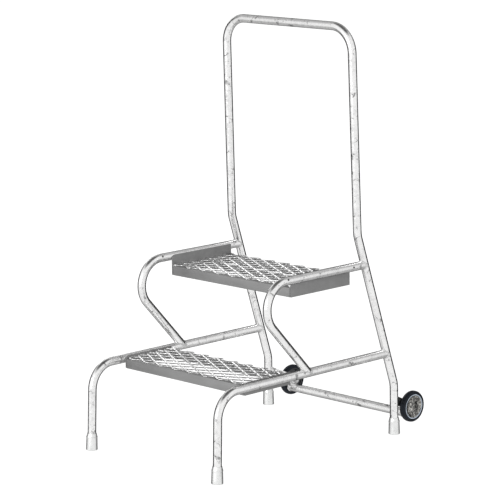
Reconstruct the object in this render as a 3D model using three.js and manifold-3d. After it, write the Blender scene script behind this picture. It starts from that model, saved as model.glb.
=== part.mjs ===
// Two-tread tip-and-roll step with a tall loop handrail.
//
// Millimetres, +Z up. The front of the step faces -Y and the user climbs towards +Y. The origin is on
// the floor, at the middle of the object's footprint. Inside the file, lengths along Y are first counted
// back from the line of the front feet, and the whole object is shifted to its origin at the end.

import * as THREE from 'three';
import * as BufferGeometryUtils from 'three/addons/utils/BufferGeometryUtils.js';
import Module from 'manifold-3d';

const wasm = await Module();
wasm.setup();

// ---------------------------------------------------------------- driving dimensions

// Clearance kept between two pieces that touch.
const gap = 0.3;

// Frame tube, bent on one former.
const tubeRadius = 12.5;
const tubeWall = 1.5;
const bendRadius = 75;

// The two side frames stand apart at the floor and close in slightly with height.
const footHalfSpan = 262.5;
const sideLean = 0.0072;

// Side profile of the centre lines, as distance back from the front feet and height above the floor.
const lowRailHeight = 249.5;
const highRailHeight = 527.3;
const frontLegSetback = 9.4;
const braceFootY = 367;
const braceNoseY = 108;
const rearFootY = 728.4;
const kneeHeight = 151.6;
const hip = { y: 576.7, z: 617.9 };
const handrailTop = { y: 560.2, z: 1216.9 };

// Vent holes of the two brace tubes.
const ventRadius = 3;
const ventSpots = [{ y: 281, z: 533 }, { y: 548, z: 529 }];

// Treads: an open sheet on two angle bars between two side plates. The deep upper tread also has a flat
// bar on edge under the middle of its sheet.
const plateThickness = 3;
const plateCorner = 14;
const noseHeight = 28.5;
const angleFlange = 20;
const supportHeight = 20;
const meshThickness = 5;
const meshColumns = 8;
const diamondShortWay = 34.7;
const strandShare = 0.15;
const lowTread = {
  name: 'lower_tread',
  front: 125,
  depth: 182,
  base: 224,
  plateHeight: 37,
  sheetShift: 20,
  rail: lowRailHeight,
};
const highTread = {
  name: 'upper_tread',
  front: 314,
  depth: 243,
  base: 473.5,
  plateHeight: 60,
  sheetShift: 3.4,
  rail: highRailHeight,
};

// Ferrule feet.
const ferruleHeight = 50;
const ferruleFloor = 5;
const ferruleRadius = 17;

// Rear wheels, clear of the floor until the step is tipped back on them.
const wheelMidX = 250.4;
const axle = { y: 820.6, z: 64.8 };
const tyreRadius = 47;
const tyreHalfWidth = 10;
const rimRadius = 37;
const boltRadius = 4;
const hexRadius = 7.5;

// Cross bar behind the rear legs, and the stepped plates that carry it and the wheels.
const crossBar = { y: 799, z: 47.5 };
const bracketThickness = 5;
const bracketLobe = 13;
const bracketOuterX = 238.6;
const bracketArmHeight = 107;
const bracketStep = { from: 746.4, to: 762.4 };

// Facets.
const tubeSides = 16;
const boreSides = 8;
const roundSides = 24;
const drillSides = 10;
const cornerFacets = 4;

// A cutting solid runs past what it cuts by this much.
const overrun = 2;

// ---------------------------------------------------------------- materials

const zincTube = { color: 0xbcbec0, roughness: 0.38, metalness: 0.85 };
const treadSteel = { color: 0x858585, roughness: 0.55, metalness: 0.7 };
const meshSteel = { color: 0xd6d8d6, roughness: 0.4, metalness: 0.75 };
const ferrulePlastic = { color: 0xd7d8d6, roughness: 0.35, metalness: 0.0 };
const tyreRubber = { color: 0x15181c, roughness: 0.7, metalness: 0.0 };
const hubPlastic = { color: 0xa7b2c2, roughness: 0.35, metalness: 0.1 };
const capPlastic = { color: 0x53524e, roughness: 0.2, metalness: 0.3 };
const boltSteel = { color: 0xc6c7c8, roughness: 0.3, metalness: 0.9 };
const bushBronze = { color: 0xa98f62, roughness: 0.4, metalness: 0.8 };

// ---------------------------------------------------------------- solids

// A closed three.js geometry as a solid that can be joined and cut.
function solidOf(geometry) {
  const bare = geometry.clone();
  bare.deleteAttribute('normal');
  bare.deleteAttribute('uv');
  const merged = BufferGeometryUtils.mergeVertices(bare, 1e-4);
  const vertProperties = Float32Array.from(merged.attributes.position.array);
  const triVerts = Uint32Array.from(merged.index.array);
  return new wasm.Manifold(new wasm.Mesh({ numProp: 3, vertProperties, triVerts }));
}

function geometryOf(solid) {
  const mesh = solid.getMesh();
  const geometry = new THREE.BufferGeometry();
  geometry.setAttribute('position', new THREE.BufferAttribute(Float32Array.from(mesh.vertProperties), 3));
  geometry.setIndex(new THREE.BufferAttribute(Uint32Array.from(mesh.triVerts), 1));
  const faceted = geometry.toNonIndexed();
  faceted.computeVertexNormals();
  return faceted;
}

const step = new THREE.Group();

function addPiece(name, geometry, look, parent = step) {
  const piece = new THREE.Mesh(geometry, new THREE.MeshStandardMaterial(look));
  piece.name = name;
  parent.add(piece);
  return piece;
}

function box(lowX, highX, lowY, highY, lowZ, highZ) {
  const block = new THREE.BoxGeometry(highX - lowX, highY - lowY, highZ - lowZ);
  return block.translate((lowX + highX) / 2, (lowY + highY) / 2, (lowZ + highZ) / 2);
}

// ---------------------------------------------------------------- bent tubes

// A point of a side frame: side is -1 on the left and +1 on the right.
function sidePoint(side, y, z) {
  return new THREE.Vector3(side * (footHalfSpan - sideLean * z), y, z);
}

// Centre line of a bent tube: straight runs with a round bend at each inner corner. A straight run is
// one stretch between two stations, and a bend has a station every 12 degrees or so.
class BentRoute extends THREE.Curve {
  constructor(corners, radius) {
    super();
    this.stations = [];
    this.addStation(corners[0], corners[1].clone().sub(corners[0]));
    for (let i = 1; i < corners.length - 1; i += 1) {
      this.addBend(corners[i - 1], corners[i], corners[i + 1], radius);
    }
    const last = corners.length - 1;
    this.addStation(corners[last], corners[last].clone().sub(corners[last - 1]));
  }

  addStation(point, direction) {
    this.stations.push({ point: point.clone(), tangent: direction.clone().normalize() });
  }

  addBend(before, corner, after, radius) {
    const inward = corner.clone().sub(before).normalize();
    const outward = after.clone().sub(corner).normalize();
    const turn = inward.angleTo(outward);
    const axis = new THREE.Vector3().crossVectors(inward, outward).normalize();
    const start = corner.clone().addScaledVector(inward, -radius * Math.tan(turn / 2));
    const toCentre = new THREE.Vector3().crossVectors(axis, inward);
    const centre = start.clone().addScaledVector(toCentre, radius);
    const steps = Math.max(2, Math.round(turn / 0.2));
    for (let i = 0; i <= steps; i += 1) {
      const angle = (turn * i) / steps;
      const spoke = start.clone().sub(centre).applyAxisAngle(axis, angle);
      this.addStation(centre.clone().add(spoke), inward.clone().applyAxisAngle(axis, angle));
    }
  }

  stationAt(u) {
    return this.stations[Math.round(u * (this.stations.length - 1))];
  }

  getPointAt(u) {
    return this.stationAt(u).point.clone();
  }

  getTangentAt(u) {
    return this.stationAt(u).tangent.clone();
  }
}

function circle(radius, sides) {
  const shape = new THREE.Shape();
  for (let i = 0; i < sides; i += 1) {
    const angle = (2 * Math.PI * i) / sides;
    const place = [radius * Math.cos(angle), radius * Math.sin(angle)];
    if (i === 0) {
      shape.moveTo(...place);
    } else {
      shape.lineTo(...place);
    }
  }
  shape.closePath();
  return shape;
}

function sweep(section, route) {
  const options = { steps: route.stations.length - 1, extrudePath: route, bevelEnabled: false };
  return new THREE.ExtrudeGeometry(section, options);
}

function ring(outerRadius, wall) {
  const section = circle(outerRadius, tubeSides);
  section.holes.push(circle(outerRadius - wall, boreSides));
  return section;
}

// The hollow tube itself, and the solid space that other pieces keep clear of.
function tubeOn(corners) {
  return solidOf(sweep(ring(tubeRadius, tubeWall), new BentRoute(corners, bendRadius)));
}

function spaceAround(corners) {
  return solidOf(sweep(circle(tubeRadius + gap, tubeSides), new BentRoute(corners, bendRadius)));
}

// Distance back of the leaning rear upright's centre line at a height between knee and hip.
function uprightY(height) {
  return rearFootY + ((hip.y - rearFootY) * (height - kneeHeight)) / (hip.z - kneeHeight);
}

// The tubes stand in the ferrules, just clear of their floors.
const tubeStart = ferruleFloor + gap;

function uprightCorners(side) {
  return [
    sidePoint(side, rearFootY, tubeStart),
    sidePoint(side, rearFootY, kneeHeight),
    sidePoint(side, hip.y, hip.z),
    sidePoint(side, handrailTop.y, handrailTop.z),
  ];
}

const handrailCorners = [...uprightCorners(-1), ...uprightCorners(1).reverse()];

function frontCorners(side) {
  const lean = frontLegSetback / lowRailHeight;
  return [
    sidePoint(side, lean * tubeStart, tubeStart),
    sidePoint(side, frontLegSetback, lowRailHeight),
    sidePoint(side, uprightY(lowRailHeight), lowRailHeight),
  ];
}

function braceCorners(side) {
  return [
    sidePoint(side, braceFootY, lowRailHeight),
    sidePoint(side, braceNoseY, highRailHeight),
    sidePoint(side, uprightY(highRailHeight), highRailHeight),
  ];
}

// A small cross drilling through both walls of a side tube.
function ventDrill(side, spot) {
  const drill = new THREE.CylinderGeometry(ventRadius, ventRadius, 4 * tubeRadius, drillSides);
  drill.rotateZ(Math.PI / 2);
  const centre = sidePoint(side, spot.y, spot.z);
  return solidOf(drill.translate(centre.x, centre.y, centre.z));
}

const sides = [
  { name: 'left', sign: -1 },
  { name: 'right', sign: 1 },
];

addPiece('handrail_tube', geometryOf(tubeOn(handrailCorners)), zincTube);
const handrailSpace = spaceAround(handrailCorners);

for (const { name, sign } of sides) {
  const leg = tubeOn(frontCorners(sign)).subtract(handrailSpace);
  addPiece(`${name}_front_leg_tube`, geometryOf(leg), zincTube);

  let brace = tubeOn(braceCorners(sign)).subtract(handrailSpace);
  brace = brace.subtract(spaceAround(frontCorners(sign)));
  for (const spot of ventSpots) {
    brace = brace.subtract(ventDrill(sign, spot));
  }
  addPiece(`${name}_brace_tube`, geometryOf(brace), zincTube);
}

// ---------------------------------------------------------------- treads

// Diamond openings of the sheet, in staggered rows, larger than the sheet so that its edges are cut. The
// pattern is shifted along X by where the sheet was cut from its stock.
function diamonds(width, depth, sheetShift) {
  const pitch = width / meshColumns;
  const reach = (pitch / 2) * (1 - strandShare);
  const rise = (diamondShortWay / 2) * (1 - strandShare);
  const halfRows = Math.ceil((2 * depth) / diamondShortWay);
  const shapes = [];
  for (let row = 0; row <= halfRows; row += 1) {
    const y = (row * diamondShortWay) / 2;
    const stagger = row % 2 === 0 ? pitch / 2 : 0;
    for (let column = -1; column <= meshColumns; column += 1) {
      const x = column * pitch + stagger + sheetShift - width / 2;
      const shape = new THREE.Shape();
      shape.moveTo(x + reach, y);
      shape.lineTo(x, y + rise);
      shape.lineTo(x - reach, y);
      shape.lineTo(x, y - rise);
      shape.closePath();
      shapes.push(shape);
    }
  }
  return shapes;
}

// Open sheet: a flat panel less its diamonds, lying with its underside at z = 0 and its front at y = 0.
function openSheet(width, depth, sheetShift) {
  const panel = solidOf(box(-width / 2, width / 2, 0, depth, 0, meshThickness));
  const options = { depth: meshThickness + 2 * overrun, bevelEnabled: false };
  const cutter = new THREE.ExtrudeGeometry(diamonds(width, depth, sheetShift), options);
  return geometryOf(panel.subtract(solidOf(cutter.translate(0, 0, -overrun))));
}

// Side plate standing on z = 0 with its front at y = 0, its top front corner rounded.
function sidePlate(depth, height) {
  const outline = new THREE.Shape();
  outline.moveTo(0, 0);
  outline.lineTo(depth, 0);
  outline.lineTo(depth, height);
  outline.lineTo(plateCorner, height);
  outline.absarc(plateCorner, height - plateCorner, plateCorner, Math.PI / 2, Math.PI, false);
  outline.closePath();
  const options = { depth: plateThickness, bevelEnabled: false, curveSegments: cornerFacets };
  const plate = new THREE.ExtrudeGeometry(outline, options);
  plate.rotateX(Math.PI / 2);
  plate.rotateZ(Math.PI / 2);
  return plate;
}

// Angle bar with its upright leg at the front and its flange on top, pointing back.
function angleBar(length) {
  const section = new THREE.Shape();
  section.moveTo(0, 0);
  section.lineTo(plateThickness, 0);
  section.lineTo(plateThickness, noseHeight - plateThickness);
  section.lineTo(angleFlange, noseHeight - plateThickness);
  section.lineTo(angleFlange, noseHeight);
  section.lineTo(0, noseHeight);
  section.closePath();
  const bar = new THREE.ExtrudeGeometry(section, { depth: length, bevelEnabled: false });
  bar.rotateX(Math.PI / 2);
  bar.rotateZ(Math.PI / 2);
  return bar.translate(-length / 2, 0, 0);
}

function addTread({ name, front, depth, base, plateHeight, sheetShift, rail }) {
  const outerHalf = footHalfSpan - sideLean * rail - tubeRadius - gap;
  const innerHalf = outerHalf - plateThickness - gap;
  for (const side of sides) {
    const plate = addPiece(`${name}_${side.name}_plate`, sidePlate(depth, plateHeight), treadSteel);
    plate.position.set(side.sign > 0 ? outerHalf - plateThickness : -outerHalf, front, base);
  }

  const frontBar = addPiece(`${name}_front_angle`, angleBar(2 * innerHalf), treadSteel);
  frontBar.position.set(0, front, base);
  const rearBar = addPiece(`${name}_rear_angle`, angleBar(2 * innerHalf), treadSteel);
  rearBar.position.set(0, front + depth, base);
  rearBar.rotation.z = Math.PI;

  const sheet = addPiece(`${name}_mesh`, openSheet(2 * innerHalf, depth, sheetShift), meshSteel);
  sheet.position.set(0, front, base + noseHeight + gap);
}

function addSupport({ name, front, depth, base, rail }) {
  const half = footHalfSpan - sideLean * rail - tubeRadius - plateThickness - 2 * gap;
  const back = plateThickness / 2;
  const bar = box(-half, half, -back, back, noseHeight - supportHeight, noseHeight);
  const support = addPiece(`${name}_support`, bar, treadSteel);
  support.position.set(0, front + depth / 2, base);
}

addTread(lowTread);
addTread(highTread);
addSupport(highTread);

// ---------------------------------------------------------------- feet

// Ferrule: a tapered cup with a lip and a coned neck, sized along the leg from the floor. It starts below
// the floor, where addFoot cuts it level.
function ferrule() {
  const bore = tubeRadius + gap;
  const profile = [
    [0, -overrun],
    [ferruleRadius, -overrun],
    [ferruleRadius, 3],
    [ferruleRadius - 1, 37],
    [ferruleRadius - 0.2, 38.5],
    [ferruleRadius - 1.2, 40.5],
    [bore + 1, ferruleHeight],
    [bore, ferruleHeight],
    [bore, ferruleFloor],
    [0, ferruleFloor],
  ].map(([radius, height]) => new THREE.Vector2(radius, height));
  return new THREE.LatheGeometry(profile, roundSides).rotateX(Math.PI / 2);
}

function addFoot(name, foot, above) {
  const cup = ferrule();
  const up = above.clone().sub(foot).normalize();
  cup.applyQuaternion(new THREE.Quaternion().setFromUnitVectors(new THREE.Vector3(0, 0, 1), up));
  cup.translate(foot.x, foot.y, foot.z);
  const reach = 2 * ferruleRadius;
  const below = box(foot.x - reach, foot.x + reach, foot.y - reach, foot.y + reach, -reach, 0);
  addPiece(name, geometryOf(solidOf(cup).subtract(solidOf(below))), ferrulePlastic);
}

for (const { name, sign } of sides) {
  const frontKnee = sidePoint(sign, frontLegSetback, lowRailHeight);
  addFoot(`${name}_front_ferrule`, sidePoint(sign, 0, 0), frontKnee);
  addFoot(`${name}_rear_ferrule`, sidePoint(sign, rearFootY, 0), sidePoint(sign, rearFootY, kneeHeight));
}

// ---------------------------------------------------------------- cross bar and wheel brackets

const bracketInnerX = bracketOuterX - bracketThickness;
const crossBarLength = 2 * (bracketInnerX - gap);
const bar = new THREE.ExtrudeGeometry(ring(tubeRadius, tubeWall), { depth: crossBarLength, bevelEnabled: false });
bar.rotateY(Math.PI / 2);
bar.translate(-crossBarLength / 2, crossBar.y, crossBar.z);
addPiece('wheel_cross_bar', bar, zincTube);

// Plan of a bracket: beside the leg, then stepped inwards to pass behind the wheel.
function bracketPlan(side) {
  const legFace = footHalfSpan - sideLean * axle.z - tubeRadius - gap;
  const outerFace = [
    [legFace, rearFootY + gap],
    [legFace, bracketStep.from],
    [bracketOuterX, bracketStep.to],
    [bracketOuterX, axle.y + 2 * bracketLobe],
  ];
  const innerFace = outerFace.map(([x, y]) => [x - bracketThickness, y]).reverse();
  const points = [...outerFace, ...innerFace].map(([x, y]) => new THREE.Vector2(side * x, y));
  const options = { depth: bracketArmHeight + 2 * bracketLobe, bevelEnabled: false };
  return solidOf(new THREE.ExtrudeGeometry(new THREE.Shape(points), options));
}

// Round-ended bar between two points of Y and Z, run through the bracket's whole width along X.
function bracketBar(side, from, to) {
  const slope = Math.atan2(to.z - from.z, to.y - from.y);
  const outline = new THREE.Shape();
  outline.absarc(to.y, to.z, bracketLobe, slope - Math.PI / 2, slope + Math.PI / 2, false);
  outline.absarc(from.y, from.z, bracketLobe, slope + Math.PI / 2, slope + (3 * Math.PI) / 2, false);
  outline.closePath();
  const span = footHalfSpan - bracketInnerX;
  const bar = new THREE.ExtrudeGeometry(new THREE.Shape(outline.getPoints(drillSides)), {
    depth: span,
    bevelEnabled: false,
  });
  bar.rotateX(Math.PI / 2);
  bar.rotateZ(Math.PI / 2);
  return solidOf(bar.translate(side > 0 ? bracketInnerX - overrun : overrun - footHalfSpan, 0, 0));
}

// An arm slopes back from the leg to the axle, and a lobe drops from the axle to the cross bar.
function bracketOutline(side) {
  const arm = bracketBar(side, { y: rearFootY, z: bracketArmHeight }, axle);
  return arm.add(bracketBar(side, crossBar, axle));
}

function boltHole(side) {
  const bore = boltRadius + gap;
  const drill = new THREE.CylinderGeometry(bore, bore, 6 * bracketThickness, roundSides);
  drill.rotateZ(Math.PI / 2);
  return solidOf(drill.translate(side * (bracketOuterX - bracketThickness / 2), axle.y, axle.z));
}

for (const { name, sign } of sides) {
  const plate = bracketPlan(sign).intersect(bracketOutline(sign)).subtract(boltHole(sign));
  addPiece(`${name}_wheel_bracket`, geometryOf(plate), zincTube);
}

// ---------------------------------------------------------------- wheels

// A turned piece about the axle: its profile is radius and distance outboard of the wheel's mid-plane.
function turned(profile, closed = true) {
  const points = profile.map(([radius, outboard]) => new THREE.Vector2(radius, outboard));
  if (closed) {
    points.push(points[0].clone());
  }
  return new THREE.LatheGeometry(points, roundSides);
}

function tyre() {
  return turned([
    [rimRadius + gap, -tyreHalfWidth + 0.6],
    [39, -tyreHalfWidth],
    [42, -tyreHalfWidth + 0.5],
    [45.5, -tyreHalfWidth + 3.2],
    [tyreRadius, -tyreHalfWidth + 7],
    [tyreRadius, tyreHalfWidth - 7],
    [45.5, tyreHalfWidth - 3.2],
    [42, tyreHalfWidth - 0.5],
    [39, tyreHalfWidth],
    [rimRadius + gap, tyreHalfWidth - 0.6],
  ]);
}

// Where the pieces lie along the axle, outboard of the wheel's mid-plane.
const bushRadius = 6.5;
const capRadius = 33.9;
const hubBackT = -9.9;
const hubFrontT = 1.2;
const rimHalf = 9.2;

function hub() {
  return turned([
    [bushRadius + gap, hubBackT],
    [11, hubBackT],
    [11, -3],
    [32.5, -3],
    [capRadius + gap, -rimHalf],
    [rimRadius, -rimHalf],
    [rimRadius, rimHalf],
    [capRadius + gap, rimHalf],
    [capRadius + gap, 5.6],
    [32.5, 5.6],
    [31.5, 1],
    [11, 1],
    [11, hubFrontT],
    [bushRadius + gap, hubFrontT],
  ]);
}

function hubCap() {
  return turned([
    [0, 9.4],
    [8.6, 8.7],
    [12.5, 6.9],
    [30, 5.9],
    [capRadius, 5.9],
    [capRadius, 8.5],
    [31, 7.6],
    [14, 8.4],
    [9, 10.3],
    [0, 11],
  ], false);
}

function bush() {
  return turned([
    [boltRadius + gap, hubBackT - 0.3],
    [bushRadius, hubBackT - 0.3],
    [bushRadius, hubFrontT + 0.3],
    [boltRadius + gap, hubFrontT + 0.3],
  ]);
}

const washerRadius = 8.2;
const hexHead = { back: 3.1, front: 8.1 };
const innerWasher = { back: -11.5, front: -10.5 };
const outerWasher = { back: 1.8, front: 2.8 };
const nut = { back: -23.6, front: -17.1 };
const boltEnd = -26;

function washerRing({ back, front }) {
  return turned([
    [boltRadius + gap, back],
    [washerRadius, back],
    [washerRadius, front],
    [boltRadius + gap, front],
  ]);
}

// Hexagon prism along the axle.
function hexagon({ back, front }) {
  const prism = new THREE.CylinderGeometry(hexRadius, hexRadius, front - back, 6);
  return prism.translate(0, (front + back) / 2, 0);
}

function axleBolt() {
  const length = hexHead.front - overrun - boltEnd;
  const shank = new THREE.CylinderGeometry(boltRadius, boltRadius, length, roundSides);
  shank.translate(0, boltEnd + length / 2, 0);
  return geometryOf(solidOf(shank).add(solidOf(hexagon(hexHead))));
}

function axleNut() {
  const bore = boltRadius + gap;
  const length = nut.front - nut.back + 2 * overrun;
  const hole = new THREE.CylinderGeometry(bore, bore, length, roundSides);
  hole.translate(0, (nut.back + nut.front) / 2, 0);
  return geometryOf(solidOf(hexagon(nut)).subtract(solidOf(hole)));
}

for (const { name, sign } of sides) {
  const station = new THREE.Group();
  station.position.set(sign * wheelMidX, axle.y, axle.z);
  station.rotation.z = (-sign * Math.PI) / 2;
  step.add(station);
  addPiece(`${name}_tyre`, tyre(), tyreRubber, station);
  addPiece(`${name}_wheel_hub`, hub(), hubPlastic, station);
  addPiece(`${name}_hub_cap`, hubCap(), capPlastic, station);
  addPiece(`${name}_wheel_bush`, bush(), bushBronze, station);
  addPiece(`${name}_axle_bolt`, axleBolt(), boltSteel, station);
  addPiece(`${name}_axle_nut`, axleNut(), boltSteel, station);
  addPiece(`${name}_inner_washer`, washerRing(innerWasher), boltSteel, station);
  addPiece(`${name}_outer_washer`, washerRing(outerWasher), boltSteel, station);
}

// ---------------------------------------------------------------- origin

// The footprint runs from the front of the front ferrules to the back of the tyres.
const footprintFront = -ferruleRadius;
const footprintBack = axle.y + tyreRadius;
step.position.y = -(footprintFront + footprintBack) / 2;

export default step;
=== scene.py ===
import math
import random

import bmesh
import bpy
from mathutils import Matrix, Vector, noise


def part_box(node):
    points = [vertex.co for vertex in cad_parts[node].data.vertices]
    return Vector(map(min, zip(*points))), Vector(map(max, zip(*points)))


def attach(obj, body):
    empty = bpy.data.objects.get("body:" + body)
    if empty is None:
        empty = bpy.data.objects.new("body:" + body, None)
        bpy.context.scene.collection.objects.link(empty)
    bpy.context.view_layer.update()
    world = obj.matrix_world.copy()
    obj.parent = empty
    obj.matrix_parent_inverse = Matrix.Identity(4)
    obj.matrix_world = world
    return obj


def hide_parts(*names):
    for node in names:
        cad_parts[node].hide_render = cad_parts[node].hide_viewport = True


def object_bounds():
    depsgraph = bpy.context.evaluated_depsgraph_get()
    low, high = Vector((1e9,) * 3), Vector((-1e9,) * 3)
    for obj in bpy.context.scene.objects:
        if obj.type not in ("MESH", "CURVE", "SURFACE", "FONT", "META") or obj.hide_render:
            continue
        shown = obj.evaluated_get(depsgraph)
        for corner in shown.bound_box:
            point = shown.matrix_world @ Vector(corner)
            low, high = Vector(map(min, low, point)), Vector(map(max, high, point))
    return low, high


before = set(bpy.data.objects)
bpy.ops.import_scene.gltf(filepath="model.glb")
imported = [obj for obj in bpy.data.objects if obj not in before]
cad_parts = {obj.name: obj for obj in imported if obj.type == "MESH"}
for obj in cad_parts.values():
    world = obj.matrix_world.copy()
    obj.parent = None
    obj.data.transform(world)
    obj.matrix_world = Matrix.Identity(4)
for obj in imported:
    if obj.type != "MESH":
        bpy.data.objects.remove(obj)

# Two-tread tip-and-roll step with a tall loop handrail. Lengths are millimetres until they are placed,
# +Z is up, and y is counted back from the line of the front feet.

cad_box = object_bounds()
chance = random.Random(11)

# ---------------------------------------------------------------- driving dimensions

MM = 0.001
GAP = 0.3

TUBE_R = 12.5
TUBE_WALL = 1.5
BEND_R = 75.0
FOOT_HALF_SPAN = 262.5
SIDE_LEAN = 0.0072

LOW_RAIL_Z = 249.5
HIGH_RAIL_Z = 527.3
FRONT_SETBACK = 9.4
BRACE_FOOT_Y = 367.0
BRACE_NOSE_Y = 108.0
REAR_FOOT_Y = 728.4
KNEE_Z = 151.6
HIP_Y, HIP_Z = 576.7, 617.9
TOP_Y, TOP_Z = 560.2, 1216.9
TUBE_START_Z = 5.3

VENT_R = 3.0
VENT_SPOTS = ((281.0, 533.0), (548.0, 529.0))

PLATE = 3.0
PLATE_CORNER = 14.0
NOSE_H = 28.5
FLANGE = 20.0
LIP_SEAM = 1.3
SUPPORT_H = 20.0
COLUMNS = 8
ROW_H = 34.7 / 2
TREADS = {
    "lower_tread": {
        "front": 125.0, "depth": 182.0, "base": 224.0, "plate_h": 37.0, "rail": LOW_RAIL_Z, "shift": 20.0,
    },
    "upper_tread": {
        "front": 314.0, "depth": 243.0, "base": 473.5, "plate_h": 60.0, "rail": HIGH_RAIL_Z, "shift": 3.4,
    },
}

FERRULE_R = 17.0

WHEEL_X = 250.4
AXLE_Y, AXLE_Z = 820.6, 64.8
BAR_Y, BAR_Z = 799.0, 47.5
BRACKET_INNER_X = 233.6

SIDES = (("left", -1), ("right", 1))

FOOT_LINE = cad_box[0].y + FERRULE_R * MM


def at(x, y, z):
    """A point of the object, from millimetres to the shared frame."""
    return Vector((x * MM, y * MM + FOOT_LINE, z * MM))


def side_point(side, y, z):
    return Vector((side * (FOOT_HALF_SPAN - SIDE_LEAN * z), y, z))


def upright_y(z):
    return REAR_FOOT_Y + (HIP_Y - REAR_FOOT_Y) * (z - KNEE_Z) / (HIP_Z - KNEE_Z)


# ---------------------------------------------------------------- materials

def set_range(node, start, stop, low, high):
    """Sets a Map Range node to turn start..stop into low..high."""
    for socket, value in (("From Min", start), ("From Max", stop), ("To Min", low), ("To Max", high)):
        node.inputs[socket].default_value = value


class Look:
    """A material under construction: its nodes are added and joined by short calls."""

    def __init__(self, name, **sockets):
        self.material = bpy.data.materials.new(name)
        self.material.use_nodes = True
        self.tree = self.material.node_tree
        self.shader = self.tree.nodes["Principled BSDF"]
        for socket, value in sockets.items():
            self.shader.inputs[socket.replace("_", " ")].default_value = value
        self.place = self.add("ShaderNodeTexCoord").outputs["Object"]

    def add(self, kind, **values):
        node = self.tree.nodes.new(kind)
        for key, value in values.items():
            setattr(node, key, value)
        return node

    def join(self, source, target):
        self.tree.links.new(source, target)

    def noise(self, scale, detail=3.0, roughness=0.55, stretch=None, distortion=0.0):
        node = self.add("ShaderNodeTexNoise")
        node.inputs["Scale"].default_value = scale
        node.inputs["Detail"].default_value = detail
        node.inputs["Roughness"].default_value = roughness
        node.inputs["Distortion"].default_value = distortion
        self.join(self.stretched(stretch), node.inputs["Vector"])
        return node.outputs["Fac"]

    def stretched(self, stretch):
        if stretch is None:
            return self.place
        node = self.add("ShaderNodeMapping")
        node.inputs["Scale"].default_value = stretch
        self.join(self.place, node.inputs["Vector"])
        return node.outputs["Vector"]

    def crystals(self, scale, wobble=0.35):
        """Flat-toned cells with ragged edges, one grey level each."""
        bend = self.add("ShaderNodeTexNoise")
        bend.inputs["Scale"].default_value = scale * 1.7
        bend.inputs["Detail"].default_value = 3.0
        self.join(self.place, bend.inputs["Vector"])
        shift = self.add("ShaderNodeVectorMath", operation="MULTIPLY_ADD")
        self.join(bend.outputs["Color"], shift.inputs[0])
        shift.inputs[1].default_value = (wobble / scale,) * 3
        self.join(self.place, shift.inputs[2])
        cells = self.add("ShaderNodeTexVoronoi")
        cells.inputs["Scale"].default_value = scale
        self.join(shift.outputs["Vector"], cells.inputs["Vector"])
        tone = self.add("ShaderNodeSeparateColor")
        self.join(cells.outputs["Color"], tone.inputs["Color"])
        return tone.outputs["Red"]

    def mix(self, a, b, share):
        """a and b are sockets; share of b is a number."""
        node = self.add("ShaderNodeMix", data_type="FLOAT")
        node.inputs["Factor"].default_value = share
        self.join(a, node.inputs["A"])
        self.join(b, node.inputs["B"])
        return node.outputs["Result"]

    def ramp(self, source, *stops):
        """Colour bands: each stop is (place, grey level or colour)."""
        node = self.add("ShaderNodeValToRGB")
        elements = node.color_ramp.elements
        while len(elements) < len(stops):
            elements.new(0.5)
        for element, (place, colour) in zip(elements, stops):
            element.position = place
            tone = (colour,) * 3 if isinstance(colour, float) else colour
            element.color = (*tone, 1.0)
        self.join(source, node.inputs["Fac"])
        return node.outputs["Color"]

    def shaded(self, colour, shade):
        """One colour socket darkened by another."""
        node = self.add("ShaderNodeMix", data_type="RGBA", blend_type="MULTIPLY")
        node.inputs["Factor"].default_value = 1.0
        self.join(colour, node.inputs[6])
        self.join(shade, node.inputs[7])
        return node.outputs[2]

    def levels(self, source, low, high, start=0.3, stop=0.7):
        """Maps the middle of a noise onto low..high."""
        node = self.add("ShaderNodeMapRange")
        set_range(node, start, stop, low, high)
        self.join(source, node.inputs["Value"])
        return node.outputs["Result"]

    def colour(self, source):
        self.join(source, self.shader.inputs["Base Color"])

    def roughness(self, source):
        self.join(source, self.shader.inputs["Roughness"])

    def bump(self, *layers):
        """Each layer is (height socket, height in millimetres)."""
        below = None
        for height, depth in layers:
            node = self.add("ShaderNodeBump")
            node.inputs["Strength"].default_value = 1.0
            node.inputs["Distance"].default_value = depth * MM
            self.join(height, node.inputs["Height"])
            if below is not None:
                self.join(below, node.inputs["Normal"])
            below = node.outputs["Normal"]
        self.join(below, self.shader.inputs["Normal"])


EDGE_TINT = (0.25, 0.25, 0.25, 1)


def zinc_look():
    """Galvanised tube: bright zinc with faint crystals, cloudy patches and scattered dark smudges."""
    look = Look("galvanised_tube", Metallic=0.94, IOR=1.5, Specular_Tint=EDGE_TINT)
    clouds = look.noise(26.0, 4.0, 0.55, distortion=0.5)
    blotches = look.noise(75.0, 3.0, 0.55, distortion=0.8)
    cells = look.crystals(150.0)
    smudges = look.noise(50.0, 3.0, 0.65, distortion=0.7)
    tone = look.mix(look.mix(clouds, blotches, 0.55), cells, 0.12)
    base = look.ramp(
        tone,
        (0.34, (0.76, 0.758, 0.758)),
        (0.44, (0.88, 0.878, 0.878)),
        (0.54, (0.94, 0.938, 0.936)),
        (0.66, (0.96, 0.958, 0.956)),
    )
    look.colour(look.shaded(base, look.ramp(smudges, (0.33, 0.38), (0.37, 0.74), (0.41, 1.0))))
    look.roughness(look.levels(look.mix(blotches, cells, 0.4), 0.13, 0.26))
    fine = look.noise(900.0, 2.0)
    look.bump((blotches, 0.02), (clouds, 0.1), (fine, 0.002))
    return look.material


def weld_look():
    look = Look("galvanised_weld", Metallic=0.8)
    patches = look.noise(220.0, 4.0, 0.6)
    look.colour(look.ramp(patches, (0.3, 0.42), (0.5, 0.72), (0.7, 0.86)))
    look.roughness(look.levels(patches, 0.3, 0.55))
    look.bump((look.noise(700.0, 3.0), 0.08))
    return look.material


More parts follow.
